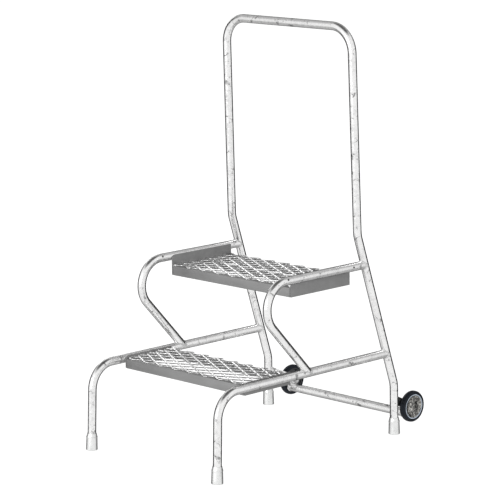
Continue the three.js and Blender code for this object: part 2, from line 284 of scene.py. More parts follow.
def tread_look():
    """Dull folded sheet: even grey with faint rolling streaks and pale wear."""
    look = Look("tread_sheet", Metallic=0.55)
    streaks = look.noise(55.0, 4.0, 0.6, stretch=(0.12, 1.0, 1.0))
    clouds = look.noise(22.0, 4.0, 0.55)
    speckle = look.noise(650.0, 2.0)
    tone = look.mix(look.mix(streaks, clouds, 0.5), speckle, 0.2)
    look.colour(look.ramp(tone, (0.3, 0.25), (0.5, 0.29), (0.7, 0.34)))
    look.roughness(look.levels(clouds, 0.46, 0.62))
    look.bump((speckle, 0.02), (clouds, 0.25))
    return look.material


def mesh_look():
    """Bright zinc on the twisted strands."""
    look = Look("expanded_sheet", Metallic=0.92)
    patches = look.noise(150.0, 4.0, 0.6)
    fine = look.noise(800.0, 2.0)
    look.colour(look.ramp(patches, (0.3, 0.62), (0.5, 0.82), (0.7, 0.93)))
    look.roughness(look.levels(patches, 0.22, 0.38))
    look.bump((fine, 0.012))
    return look.material


def ferrule_look():
    """Pale pearly plastic with a soft gloss and cloudy streaks along the foot."""
    look = Look("ferrule_plastic", Metallic=0.75, IOR=1.5, Specular_Tint=EDGE_TINT)
    cloud = look.noise(45.0, 4.0, 0.5, stretch=(1.0, 1.0, 0.4))
    speck = look.noise(420.0, 3.0, 0.7)
    look.colour(look.ramp(
        look.mix(cloud, speck, 0.3),
        (0.34, (0.76, 0.765, 0.76)),
        (0.5, (0.88, 0.885, 0.88)),
        (0.66, (0.94, 0.94, 0.93)),
    ))
    look.roughness(look.levels(speck, 0.22, 0.42))
    look.bump((speck, 0.015))
    return look.material


def rubber_look():
    """Blue-black rubber with a little pale dust."""
    look = Look("tyre_rubber", Specular_IOR_Level=0.25)
    dust = look.noise(70.0, 5.0, 0.65)
    grain = look.noise(1100.0, 2.0)
    look.colour(look.ramp(
        dust,
        (0.35, (0.004, 0.006, 0.010)),
        (0.6, (0.008, 0.012, 0.020)),
        (0.8, (0.026, 0.030, 0.038)),
    ))
    look.roughness(look.levels(dust, 0.42, 0.62))
    look.bump((grain, 0.02))
    return look.material


def hub_look():
    """Dark moulding with a pale outer rim; the change is at the rim's own place along X."""
    look = Look("hub_plastic", IOR=1.5)
    haze = look.noise(60.0, 4.0, 0.6)
    fine = look.noise(900.0, 2.0)
    parts = look.add("ShaderNodeSeparateXYZ")
    look.join(look.place, parts.inputs[0])
    away = look.add("ShaderNodeMath", operation="ABSOLUTE")
    look.join(parts.outputs["X"], away.inputs[0])
    rim = (WHEEL_X + 6.0) * MM
    outboard = look.levels(away.outputs["Value"], 0.0, 1.0, rim - 0.0004, rim + 0.0004)
    paint = look.ramp(outboard, (0.0, (0.045, 0.047, 0.052)), (1.0, (0.66, 0.75, 0.86)))
    look.colour(look.shaded(paint, look.ramp(haze, (0.3, 0.78), (0.7, 1.0))))
    look.roughness(look.levels(haze, 0.25, 0.4))
    look.bump((fine, 0.01))
    return look.material


def cap_look():
    """Dark glossy cap, smeared and slightly hammered, so that it glints unevenly; the pale patches in its
    colour are painted glints.
    """
    look = Look("cap_plastic", Metallic=0.8, Coat_Weight=0.6, Coat_Roughness=0.08)
    smear_and_glint = look.noise(110.0, 4.0, 0.6, distortion=1.0)
    dents = look.noise(150.0, 2.0, 0.4)
    # The darker tones of this ramp are the cap's smears; its pale end paints glints onto the dark cap.
    look.colour(look.ramp(
        smear_and_glint,
        (0.36, (0.05, 0.049, 0.047)),
        (0.5, (0.2, 0.197, 0.185)),
        (0.62, (0.66, 0.65, 0.61)),
    ))
    look.roughness(look.levels(smear_and_glint, 0.16, 0.36))
    look.bump((dents, 2.4), (smear_and_glint, 0.1))
    return look.material


def bolt_look():
    look = Look("bolt_zinc", Metallic=1.0)
    wear = look.noise(260.0, 4.0, 0.6)
    look.colour(look.ramp(
        wear,
        (0.3, (0.52, 0.52, 0.53)),
        (0.55, (0.72, 0.72, 0.72)),
        (0.7, (0.80, 0.79, 0.76)),
    ))
    look.roughness(look.levels(wear, 0.2, 0.38))
    look.bump((look.noise(1300.0, 2.0), 0.008))
    return look.material


def bronze_look():
    look = Look("bush_bronze", Metallic=1.0)
    tarnish = look.noise(240.0, 4.0, 0.6)
    look.colour(look.ramp(
        tarnish,
        (0.3, (0.20, 0.13, 0.06)),
        (0.6, (0.46, 0.33, 0.16)),
        (0.75, (0.60, 0.47, 0.26)),
    ))
    look.roughness(look.levels(tarnish, 0.26, 0.46))
    look.bump((look.noise(1000.0, 2.0), 0.01))
    return look.material


ZINC = zinc_look()
WELD = weld_look()
TREAD = tread_look()
MESH = mesh_look()
FERRULE = ferrule_look()
RUBBER = rubber_look()
HUB = hub_look()
CAP = cap_look()
BOLT = bolt_look()
BRONZE = bronze_look()

# ---------------------------------------------------------------- mesh building


def finish_piece(name, bm, material, slot, body, *nodes, crease=32.0):
    """Turns a bmesh in millimetres into a piece in place, riding on its body."""
    bmesh.ops.recalc_face_normals(bm, faces=bm.faces)
    for vert in bm.verts:
        vert.co = at(*vert.co)
    mesh = bpy.data.meshes.new(name)
    bm.to_mesh(mesh)
    bm.free()
    mesh.shade_smooth()
    mesh.set_sharp_from_angle(angle=math.radians(crease))
    mesh.materials.append(material)
    piece = bpy.data.objects.new(name, mesh)
    bpy.context.scene.collection.objects.link(piece)
    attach(piece, body)
    if nodes:
        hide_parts(*nodes)
    return piece


def loft(bm, rings, closed=False):
    """Skins a row of equal rings; an open row gets a cap at each end."""
    loops = [[bm.verts.new(point) for point in ring] for ring in rings]
    count = len(loops[0])
    following = loops[1:] + loops[:1] if closed else loops[1:]
    for near, far in zip(loops, following):
        for i in range(count):
            j = (i + 1) % count
            bm.faces.new((near[i], near[j], far[j], far[i]))
    if not closed:
        bm.faces.new(loops[0][::-1])
        bm.faces.new(loops[-1])


def across(direction):
    """A unit vector square to direction."""
    helper = Vector((0, 0, 1)) if abs(direction.z) < 0.9 else Vector((1, 0, 0))
    return direction.cross(helper).normalized()


def ring_at(point, normal, direction, radius, sides):
    other = direction.cross(normal)
    spokes = ((2 * math.pi * i) / sides for i in range(sides))
    return [point + radius * (math.cos(a) * normal + math.sin(a) * other) for a in spokes]


# ---------------------------------------------------------------- tubes

SIDES_OF_TUBE = 48
BEND_STEP = math.radians(4.0)


def bent_route(corners, radius):
    """Centre line of a bent tube: a list of (point, direction)."""
    route = [(corners[0].copy(), (corners[1] - corners[0]).normalized())]
    for before, corner, after in zip(corners, corners[1:], corners[2:]):
        inward = (corner - before).normalized()
        outward = (after - corner).normalized()
        turn = inward.angle(outward)
        hinge = inward.cross(outward).normalized()
        start = corner - inward * radius * math.tan(turn / 2)
        centre = start + hinge.cross(inward) * radius
        steps = max(4, round(turn / BEND_STEP))
        for i in range(steps + 1):
            spin = Matrix.Rotation(turn * i / steps, 3, hinge)
            route.append((centre + spin @ (start - centre), spin @ inward))
    route.append((corners[-1].copy(), (corners[-1] - corners[-2]).normalized()))
    return route


def with_stops(route, stops):
    """Adds stations on the straight runs, at the given points."""
    out = list(route)
    for stop in stops:
        for i in range(len(out) - 1):
            (a, direction), (b, _) = out[i], out[i + 1]
            run = (b - a).length
            along = (stop - a).dot(direction)
            off = (stop - a - direction * along).length
            if 1.0 < along < run - 1.0 and off < 0.5 * TUBE_R:
                out.insert(i + 1, (a + direction * along, direction))
                break
    return out


def route_frames(route):
    """Carries one normal along the route without twist."""
    normal = across(route[0][1])
    frames = []
    last = route[0][1]
    for point, direction in route:
        normal = last.rotation_difference(direction) @ normal
        frames.append((point, direction, normal))
        last = direction
    return frames


def coped(ring, heading, axis_point, axis, radius):
    """Slides a ring's points along heading to where they first meet a round bar."""
    out = []
    flat = heading - axis * heading.dot(axis)
    for point in ring:
        offset = point - axis_point
        offset = offset - axis * offset.dot(axis)
        a = flat.dot(flat)
        b = offset.dot(flat)
        c = offset.dot(offset) - radius * radius
        root = b * b - a * c
        travel = (-b - math.sqrt(root)) / a if root > 0 else -b / a
        out.append(point + heading * travel)
    return out


def pipe(bm, route, radius, wall, start_cope=None, end_cope=None):
    """Hollow bent tube as one closed skin. Returns its two outer end rings."""
    frames = route_frames(route)
    outer = [ring_at(p, n, d, radius, SIDES_OF_TUBE) for p, d, n in frames]
    inner = [ring_at(p, n, d, radius - wall, SIDES_OF_TUBE) for p, d, n in frames]
    for skin in (outer, inner):
        if start_cope:
            skin[0] = coped(skin[0], -frames[0][1], *start_cope)
        if end_cope:
            skin[-1] = coped(skin[-1], frames[-1][1], *end_cope)
    loft(bm, outer + inner[::-1], closed=True)
    return outer[0], outer[-1]


def drill(piece, holes):
    """Cuts round cross holes through a piece, along X. Each hole is (centre, radius)."""
    bm = bmesh.new()
    for centre, radius in holes:
        ends = [centre + Vector((s * 2 * TUBE_R, 0, 0)) for s in (-1, 1)]
        loft(bm, [ring_at(p, Vector((0, 1, 0)), Vector((1, 0, 0)), radius, 24) for p in ends])
    bmesh.ops.recalc_face_normals(bm, faces=bm.faces)
    for vert in bm.verts:
        vert.co = at(*vert.co)
    mesh = bpy.data.meshes.new("drill")
    bm.to_mesh(mesh)
    bm.free()
    tool = bpy.data.objects.new("drill", mesh)
    bpy.context.scene.collection.objects.link(tool)
    cut = piece.modifiers.new("holes", "BOOLEAN")
    cut.operation = "DIFFERENCE"
    cut.solver = "EXACT"
    cut.object = tool
    bpy.context.view_layer.update()
    result = bpy.data.meshes.new_from_object(piece.evaluated_get(bpy.context.evaluated_depsgraph_get()))
    piece.modifiers.remove(cut)
    result.name = piece.name
    old = piece.data
    piece.data = result
    bpy.data.meshes.remove(old)
    bpy.data.objects.remove(tool)
    bpy.data.meshes.remove(mesh)
    result.set_sharp_from_angle(angle=math.radians(32))


# ---------------------------------------------------------------- welds

BEAD_STEP = 0.6
BEAD_SIDES = 10
RIPPLE = 2.3

welds = bmesh.new()


def resampled(points, step, closed):
    """Points at an even spacing along a line of points."""
    chain = list(points) + ([points[0]] if closed else [])
    lengths = [0.0]
    for a, b in zip(chain, chain[1:]):
        lengths.append(lengths[-1] + (b - a).length)
    count = max(4, round(lengths[-1] / step))
    out = []
    k = 0
    for i in range(count + (0 if closed else 1)):
        goal = lengths[-1] * i / count
        while k < len(lengths) - 2 and lengths[k + 1] < goal:
            k += 1
        span = lengths[k + 1] - lengths[k]
        out.append(chain[k].lerp(chain[k + 1], (goal - lengths[k]) / span if span else 0.0))
    return out


def bead(points, radius, closed=False):
    """A rippled, slightly uneven weld bead along a line of points."""
    path = resampled(points, BEAD_STEP, closed)
    count = len(path)
    phase = chance.uniform(0, 20)
    rings = []
    normal = None
    for i, point in enumerate(path):
        before = path[(i - 1) % count] if closed else path[max(i - 1, 0)]
        after = path[(i + 1) % count] if closed else path[min(i + 1, count - 1)]
        direction = (after - before).normalized()
        if normal is None:
            normal = across(direction)
        normal = (normal - direction * normal.dot(direction)).normalized()
        wave = 0.88 + 0.12 * abs(math.cos(math.pi * i * BEAD_STEP / RIPPLE + phase))
        lump = 1 + 0.22 * noise.noise(point * 0.09 + Vector((phase, 0, 0)))
        end = 1.0
        if not closed:
            reach = min(i, count - 1 - i) * BEAD_STEP / radius
            end = math.sqrt(max(0.06, 1 - max(0.0, 1 - reach) ** 2))
        rings.append(ring_at(point, normal, direction, radius * wave * lump * end, BEAD_SIDES))
    if closed:
        loft_closed_twist(rings)
    else:
        loft(welds, rings)


def loft_closed_twist(rings):
    """Closes a ring of rings whose ends may be turned against each other."""
    first, last = rings[0], rings[-1]
    shifts = range(len(first))
    best = min(shifts, key=lambda s: sum((last[i] - first[(i + s) % len(first)]).length for i in shifts))
    loops = [[welds.verts.new(point) for point in ring] for ring in rings]
    count = len(first)
    for near, far in zip(loops, loops[1:]):
        for i in range(count):
            j = (i + 1) % count
            welds.faces.new((near[i], near[j], far[j], far[i]))
    for i in range(count):
        j = (i + 1) % count
        onward = loops[0][(j + best) % count], loops[0][(i + best) % count]
        welds.faces.new((loops[-1][i], loops[-1][j], *onward))


def spot(centre, radius, height):
    """A low round spot weld."""
    rings = []
    for lift in (-0.2, 0.35, 0.75, 0.95):
        spread = math.sqrt(max(0.0, 1 - max(lift, 0.0) ** 2))
        ring = []
        for i in range(12):
            angle = math.pi * i / 6
            reach = radius * spread
            ring.append(centre + Vector((reach * math.cos(angle), reach * math.sin(angle), height * lift)))
        rings.append(ring)
    loft(welds, rings)


# ---------------------------------------------------------------- the tubular frame


def upright_axis(side, z):
    """The leaning upright near a height: a point on its centre line, and its direction."""
    low = side_point(side, REAR_FOOT_Y, KNEE_Z)
    high = side_point(side, HIP_Y, HIP_Z)
    return side_point(side, upright_y(z), z), (high - low).normalized()


def add_handrail():
    half = []
    for side in (-1, 1):
        corners = [
            side_point(side, REAR_FOOT_Y, TUBE_START_Z),
            side_point(side, REAR_FOOT_Y, KNEE_Z),
            side_point(side, HIP_Y, HIP_Z),
            side_point(side, TOP_Y, TOP_Z),
        ]
        half.append(corners)
    bm = bmesh.new()
    pipe(bm, bent_route(half[0] + half[1][::-1], BEND_R), TUBE_R, TUBE_WALL)
    finish_piece("handrail_loop", bm, ZINC, "zinc_tube", "frame", "handrail_tube")


def add_front_leg(name, side):
    lean = FRONT_SETBACK / LOW_RAIL_Z
    point, axis = upright_axis(side, LOW_RAIL_Z)
    corners = [
        side_point(side, lean * TUBE_START_Z, TUBE_START_Z),
        side_point(side, FRONT_SETBACK, LOW_RAIL_Z),
        side_point(side, upright_y(LOW_RAIL_Z) - 2 * TUBE_R, LOW_RAIL_Z),
    ]
    bm = bmesh.new()
    cope = (point, axis, TUBE_R - 0.1)
    _, end = pipe(bm, bent_route(corners, BEND_R), TUBE_R, TUBE_WALL, end_cope=cope)
    bead(end, 2.5, closed=True)
    finish_piece(f"{name}_front_leg", bm, ZINC, "zinc_tube", "frame", f"{name}_front_leg_tube")


def add_brace(name, side):
    foot = side_point(side, BRACE_FOOT_Y, LOW_RAIL_Z)
    nose = side_point(side, BRACE_NOSE_Y, HIGH_RAIL_Z)
    point, axis = upright_axis(side, HIGH_RAIL_Z)
    shy_foot = foot + (nose - foot).normalized() * 2 * TUBE_R
    corners = [shy_foot, nose, side_point(side, upright_y(HIGH_RAIL_Z) - 2 * TUBE_R, HIGH_RAIL_Z)]
    vents = [side_point(side, y, z) for y, z in VENT_SPOTS]
    stops = [vent + Vector((0, reach, 0)) for vent in vents for reach in (-9, 9)]
    route = with_stops(bent_route(corners, BEND_R), stops)
    bm = bmesh.new()
    foot_cope = (foot, Vector((0, 1, 0)), TUBE_R - 0.1)
    rear_cope = (point, axis, TUBE_R - 0.1)
    start, end = pipe(bm, route, TUBE_R, TUBE_WALL, foot_cope, rear_cope)
    bead(start, 2.4, closed=True)
    bead(end, 2.6, closed=True)
    piece = finish_piece(f"{name}_brace", bm, ZINC, "zinc_tube", "frame", f"{name}_brace_tube")
    drill(piece, [(vent, VENT_R) for vent in vents])


# ---------------------------------------------------------------- sheet pieces


def rounded(corners, steps=5):
    """A flat outline from (a, b, radius) corners, each rounded by its radius."""
    out = []
    count = len(corners)
    for i, (a, b, radius) in enumerate(corners):
        here = Vector((a, b))
        before = Vector(corners[i - 1][:2])
        after = Vector(corners[(i + 1) % count][:2])
        if radius <= 0:
            out.append(here)
            continue
        inward = (here - before).normalized()
        outward = (after - here).normalized()
        turn = inward.angle(outward)
        trim = radius * math.tan(turn / 2)
        first = here - inward * trim
        hand = 1 if inward.x * outward.y - inward.y * outward.x > 0 else -1
        centre = first + Vector((-inward.y, inward.x)) * radius * hand
        spoke = first - centre
        for k in range(steps + 1):
            angle = hand * turn * k / steps
            out.append(centre + Vector((
                spoke.x * math.cos(angle) - spoke.y * math.sin(angle),
                spoke.x * math.sin(angle) + spoke.y * math.cos(angle),
            )))
    return out


def inset(outline, amount):
    """The outline moved inwards; it runs anticlockwise."""
    out = []
    count = len(outline)
    for i, here in enumerate(outline):
        edge = outline[(i + 1) % count] - outline[i - 1]
        inward = Vector((-edge.y, edge.x)).normalized()
        out.append(here + inward * amount)
    return out


def slab(bm, outline, low_x, high_x, round_low, round_high):
    """Runs a flat outline of (y, z) along X, with rounded rims at both ends."""
    rings = []
    for x, amount, towards in ((low_x, round_low, 1), (high_x, round_high, -1)):
        rims = []
        for k in range(4):
            angle = math.pi / 2 * k / 3
            pulled = inset(outline, amount * (1 - math.sin(angle)))
            level = x + towards * amount * (1 - math.cos(angle))
            rims.append([Vector((level, p.x, p.y)) for p in pulled])
        rings.extend(rims if towards > 0 else rims[::-1])
    loft(bm, rings)


def add_plate(tread, spec, name, side):
    outer = FOOT_HALF_SPAN - SIDE_LEAN * spec["rail"] - TUBE_R - GAP
    front, rear = spec["front"], spec["front"] + spec["depth"]
    low, high = spec["base"], spec["base"] + spec["plate_h"]
    outline = rounded([(front, low, 1.5), (rear, low, 1.5), (rear, high, 2.5), (front, high, PLATE_CORNER)])
    near, far = sorted((side * outer, side * (outer - PLATE)))
    bm = bmesh.new()
    slab(bm, outline, near, far, 0.6, 0.6)
    finish_piece(f"{tread}_{name}_cheek", bm, TREAD, "tread_steel", "frame", f"{tread}_{name}_plate")

    rail_z = spec["rail"]
    line_x = side * (outer + 0.4)
    line_z = rail_z - TUBE_R * 0.55
    for share in (0.14, 0.5, 0.86):
        middle = front + spec["depth"] * share
        points = [Vector((line_x, middle + k * 6.0, line_z)) for k in range(-2, 3)]
        bead(points, 1.2)


def add_angle(tread, spec, half, end):
    """Folded angle bar: upright leg outside, flange on top pointing under the sheet."""
    high = spec["base"] + NOSE_H
    low = spec["base"]
    face = spec["front"] if end == "front" else spec["front"] + spec["depth"]
    way = 1 if end == "front" else -1
    section = [
        (face, low, 0.5),
        (face + way * PLATE, low, 0.5),
        (face + way * PLATE, high - PLATE, 1.2),
        (face + way * FLANGE, high - PLATE, 0.5),
        (face + way * FLANGE, high, 0.5),
        (face, high, 3.6),
    ]
    if way < 0:
        section.reverse()
    bm = bmesh.new()
    slab(bm, rounded(section), LIP_SEAM - half, half - LIP_SEAM, 0.9, 0.9)
    finish_piece(f"{tread}_{end}_lip", bm, TREAD, "tread_steel", "frame", f"{tread}_{end}_angle")
    for side in (-1, 1):
        corner = side * (half + 0.2)
        inside = face + way * (PLATE + 0.8)
        bead([Vector((corner, inside, low + 3 + k * 3.5)) for k in range(7)], 1.8)


# ---------------------------------------------------------------- expanded sheet

STRAND_W = 4.6
STRAND_T = 1.6
STRAND_TILT = math.radians(30)
STRAND_STEPS = 9
BOND = 0.11
MESH_LIFT = 2.5


def strand_phase(u):
    """Share of the way from the front bond to the rear bond, with flats at both bonds."""
    v = min(1.0, max(0.0, (u - BOND) / (1 - 2 * BOND)))
    eased = v * v * (3 - 2 * v)
    return 0.55 * v + 0.45 * eased


def strand_section(y, z):
    """Rounded, tilted rectangle around a centre in the YZ plane."""
    wide = Vector((0, math.cos(STRAND_TILT), math.sin(STRAND_TILT)))
    thick = Vector((0, -math.sin(STRAND_TILT), math.cos(STRAND_TILT)))
    half_w, half_t, nip = STRAND_W / 2, STRAND_T / 2, 0.35
    ring = []
    for a, b in ((1, -1), (1, 1), (-1, 1), (-1, -1)):
        first = (a * half_w, b * (half_t - nip))
        second = (a * (half_w - nip), b * half_t)
        pair = (first, second) if a * b > 0 else (second, first)
        for w, t in pair:
            ring.append(Vector((0, y, z)) + wide * w + thick * t)
    return ring


def add_sheet(tread, spec, half):
    pitch = 2 * half / COLUMNS
    rows = math.ceil(spec["depth"] / ROW_H - 0.05)
    middle = spec["base"] + NOSE_H + MESH_LIFT
    plan = STRAND_W * math.cos(STRAND_TILT)
    rise = 0.3 * STRAND_W * math.sin(STRAND_TILT)
    bm = bmesh.new()
    for row in range(rows):
        rings = []
        total = 2 * COLUMNS * STRAND_STEPS
        for i in range(total + 1):
            along = i / STRAND_STEPS
            slid = along - spec["shift"] * 2 / pitch
            cell = math.floor(slid)
            u = slid - cell
            climbing = (cell + row) % 2 == 0
            share = strand_phase(u if climbing else 1 - u)
            y = spec["front"] + (row + share) * ROW_H + (plan / 2 - 0.1) * (1 - 2 * share)
            z = middle + (rise / 2) * (1 - 2 * share)
            x = -half + along * pitch / 2
            rings.append([Vector((x, 0, 0)) + point for point in strand_section(y, z)])
        loft(bm, rings)
    rear = spec["front"] + spec["depth"]
    geometry = bm.verts[:] + bm.edges[:] + bm.faces[:]
    cut = {"plane_co": (0, rear, 0), "plane_no": (0, 1, 0), "clear_outer": True}
    bmesh.ops.bisect_plane(bm, geom=geometry, **cut)
    open_edges = [edge for edge in bm.edges if edge.is_boundary]
    if open_edges:
        bmesh.ops.holes_fill(bm, edges=open_edges, sides=0)
    finish_piece(f"{tread}_open_sheet", bm, MESH, "mesh_steel", "frame", f"{tread}_mesh")

    flange_top = spec["base"] + NOSE_H
    for column in range(COLUMNS + 1):
        x = min(max(-half + column * pitch + spec["shift"], -half + 3), half - 3)
        spot(Vector((x, spec["front"] + 3.2, flange_top)), 2.6, 1.6)
    for column in range(COLUMNS):
        x = -half + (column + 0.5) * pitch + spec["shift"]
        spot(Vector((x, spec["front"] + ROW_H, flange_top)), 2.6, 1.4)


def add_support(tread, spec, half):
    """Flat bar on edge under the middle of the sheet."""
    middle = spec["front"] + spec["depth"] / 2
    top = spec["base"] + NOSE_H
    low, back = top - SUPPORT_H, middle + PLATE / 2
    face = middle - PLATE / 2
    outline = rounded([(face, low, 0.5), (back, low, 0.5), (back, top, 0.5), (face, top, 0.5)])
    bm = bmesh.new()
    slab(bm, outline, -half, half, 0.4, 0.4)
    finish_piece(f"{tread}_support_bar", bm, TREAD, "tread_steel", "frame", f"{tread}_support")
    for side in (-1, 1):
        corner = side * (half + 0.2)
        bead([Vector((corner, face - 0.6, low + 2 + k * 3.2)) for k in range(5)], 1.6)


def add_tread(tread, spec):
    outer = FOOT_HALF_SPAN - SIDE_LEAN * spec["rail"] - TUBE_R - GAP
    half = outer - PLATE - GAP
    for name, side in SIDES:
        add_plate(tread, spec, name, side)
    for end in ("front", "rear"):
        add_angle(tread, spec, half, end)
    add_sheet(tread, spec, half)
    if tread == "upper_tread":
        add_support(tread, spec, half)


# ---------------------------------------------------------------- turned pieces


def lathe(bm, profile, centre, axis, segments):
    """Turns a profile of (radius, place along axis): closed, or capped if it starts and ends on the axis."""
    normal = across(axis)
    on_axis = profile[0][0] == 0
    body = profile[1:-1] if on_axis else profile
    rings = [ring_at(centre + axis * t, normal, axis, r, segments) for r, t in body]
    if not on_axis:
        loft(bm, rings, closed=True)
        return
    loops = [[bm.verts.new(point) for point in ring] for ring in rings]
    for near, far in zip(loops, loops[1:]):
        for i in range(segments):
            j = (i + 1) % segments
            bm.faces.new((near[i], near[j], far[j], far[i]))
    for loop, (_, t) in ((loops[0], profile[0]), (loops[-1], profile[-1])):
        tip = bm.verts.new(centre + axis * t)
        for i in range(segments):
            bm.faces.new((tip, loop[i], loop[(i + 1) % segments]))


FERRULE_PROFILE = (
    (0, 1.6), (11.5, 1.6), (12.6, 0.2), (14.9, 0.05), (16.2, 0.5), (16.85, 1.4), (17.0, 2.8),
    (16.55, 18), (16.0, 35.6), (16.02, 36.6), (16.35, 37.2), (16.75, 37.8), (16.85, 38.5), (16.7, 39.2),
    (16.2, 39.9), (15.75, 40.4), (15.55, 41.2), (14.3, 47.6), (13.95, 49.3), (13.5, 49.95), (12.85, 50.0),
    (12.62, 49.5), (12.6, 48), (12.6, 6.5), (0, 6.5),
)


def add_ferrule(name, foot, above):
    bm = bmesh.new()
    lathe(bm, FERRULE_PROFILE, foot, (above - foot).normalized(), 72)
    for vert in bm.verts:
        vert.co.z = max(vert.co.z, 0.0)
    finish_piece(f"{name}_foot", bm, FERRULE, "ferrule_plastic", "frame", f"{name}_ferrule", crease=40)


# ---------------------------------------------------------------- cross bar and brackets


def add_cross_bar():
    end = BRACKET_INNER_X - GAP
    route = [(Vector((s * end, BAR_Y, BAR_Z)), Vector((1, 0, 0))) for s in (-1, 1)]
    bm = bmesh.new()
    rims = pipe(bm, route, TUBE_R, TUBE_WALL)
    for rim in rims:
        bead(rim, 1.9, closed=True)
    finish_piece("cross_bar", bm, ZINC, "zinc_tube", "frame", "wheel_cross_bar")


def add_bracket(name, side):
    """The bracket's own plate with its rims rounded over."""
    node = f"{name}_wheel_bracket"
    bm = bmesh.new()
    bm.from_mesh(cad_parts[node].data)
    for vert in bm.verts:
        vert.co = (vert.co - Vector((0, FOOT_LINE, 0))) / MM
    bmesh.ops.remove_doubles(bm, verts=bm.verts, dist=0.01)
    bmesh.ops.dissolve_limit(bm, angle_limit=math.radians(2), verts=bm.verts, edges=bm.edges)
    rims = [edge for edge in bm.edges if edge.calc_face_angle(0) > math.radians(35)]
    bmesh.ops.bevel(bm, geom=rims, offset=0.7, segments=3, profile=0.5, affect="EDGES")
    finish_piece(f"{name}_bracket", bm, ZINC, "zinc_tube", "frame", node)

    _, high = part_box(node)
    leg_x = side * (FOOT_HALF_SPAN - SIDE_LEAN * AXLE_Z - TUBE_R - GAP)
    top = high.z / MM
    for height in (top - 0.5, top - 25.5):
        start = Vector((leg_x, REAR_FOOT_Y + 1.5, height))
        bead([start + Vector((side * 0.05 * k * k, k * 1.4, -0.5 * k * 1.4)) for k in range(7)], 2.0)
    back_edge = [Vector((leg_x - side * 1.0, REAR_FOOT_Y + 1.2, top - 2 - k * 3)) for k in range(8)]
    bead(back_edge, 1.6)


# ---------------------------------------------------------------- wheels

WHEEL_SEGMENTS = 96

TYRE_PROFILE = (
    (37.3, -9.4), (37.7, -9.85), (38.6, -10.0), (40.6, -9.95), (41.1, -9.6), (41.6, -9.6), (42.0, -9.75),
    (43.4, -9.2), (44.9, -7.9), (46.0, -6.1), (46.7, -4.0), (46.93, -1.6), (46.93, -0.35), (46.98, 0.0),
    (46.93, 0.35), (46.93, 1.6), (46.7, 4.0), (46.0, 6.1), (44.9, 7.9), (43.4, 9.2), (42.0, 9.75),
    (41.6, 9.6), (41.1, 9.6), (40.6, 9.95), (38.6, 10.0), (37.7, 9.85), (37.3, 9.4),
)
HUB_PROFILE = (
    (6.8, -9.6), (7.1, -9.9), (10.5, -9.9), (11.0, -9.4), (11.3, -4.2), (12.3, -3.0), (31.6, -3.0),
    (33.2, -4.4), (34.0, -8.6), (34.6, -9.2), (36.4, -9.2), (37.0, -8.7), (37.0, 8.7), (36.4, 9.2),
    (34.7, 9.2), (34.2, 8.7), (34.2, 5.6), (32.5, 5.6), (31.7, 4.9), (31.3, 1.3), (30.6, 1.0),
    (11.4, 1.0), (11.0, 1.2), (7.1, 1.2), (6.8, 0.9),
)
CAP_PROFILE = (
    (0, 9.4), (8.6, 8.7), (12.5, 6.9), (30, 5.9), (33.4, 5.9), (33.9, 6.3), (33.9, 8.1), (33.5, 8.6),
    (32.3, 8.5), (30.8, 7.9), (28.5, 7.5), (24, 7.35), (19, 7.5), (15, 8.1), (12, 9.0), (9.5, 10.0),
    (6.5, 10.7), (3, 10.95), (0, 11.0),
)
BUSH_PROFILE = (
    (4.4, -10.0), (4.6, -10.2), (6.3, -10.2), (6.5, -10.0), (6.5, 1.3), (6.3, 1.5), (4.6, 1.5), (4.4, 1.3),
)
RIB_COUNT = 6


def ribs(bm, centre, axis):
    """Stiffening ribs on the inboard face of the hub, from boss to rim."""
    normal = across(axis)
    for k in range(RIB_COUNT):
        out = Matrix.Rotation(2 * math.pi * k / RIB_COUNT, 3, axis) @ normal
        wide = axis.cross(out)
        rings = []
        for r, top in ((10.6, -8.4), (13, -8.0), (22, -6.6), (30, -6.2), (33.4, -6.4)):
            ring = []
            low_side = (-1.3, -2.6), (-1.0, top + 0.4), (-0.6, top)
            high_side = (0.6, top), (1.0, top + 0.4), (1.3, -2.6)
            for w, t in (*low_side, *high_side):
                ring.append(centre + out * r + wide * w + axis * t)
            rings.append(ring)
        loft(bm, rings)


def dish(bm, centre, axis):
    """Presses shallow petals into the cap's outer face."""
    normal = across(axis)
    other = axis.cross(normal)
    for vert in bm.verts:
        arm = vert.co - centre
        t = arm.dot(axis)
        flat = arm - axis * t
        r = flat.length
        if t < 7.2 or not 9 < r < 31:
            continue
        angle = math.atan2(flat.dot(other), flat.dot(normal))
        window = math.sin(math.pi * (r - 9) / 22) ** 2
        vert.co -= axis * 0.55 * window * (0.5 + 0.5 * math.cos(5 * angle))


def hexagon(bm, centre, axis, back, front, radius, bore=0.0):
    """Six-sided head or nut with its corners turned down at both ends."""
    normal = across(axis)
    rings = []
    for t, share in ((back, 0.9), (back + 0.7, 1.0), (front - 0.9, 1.0), (front, 0.88)):
        ring = []
        for i in range(48):
            angle = 2 * math.pi * i / 48
            local = (angle + math.pi / 6) % (math.pi / 3) - math.pi / 6
            flat_radius = radius * math.cos(math.pi / 6) / math.cos(local)
            reach = min(flat_radius, radius * share)
            out = Matrix.Rotation(angle, 3, axis) @ normal
            ring.append(centre + axis * t + out * reach)
        rings.append(ring)
    if bore:
        hole = [ring_at(centre + axis * t, normal, axis, bore, 48) for t in (front, back)]
        loft(bm, rings + hole, closed=True)
    else:
        loft(bm, rings)


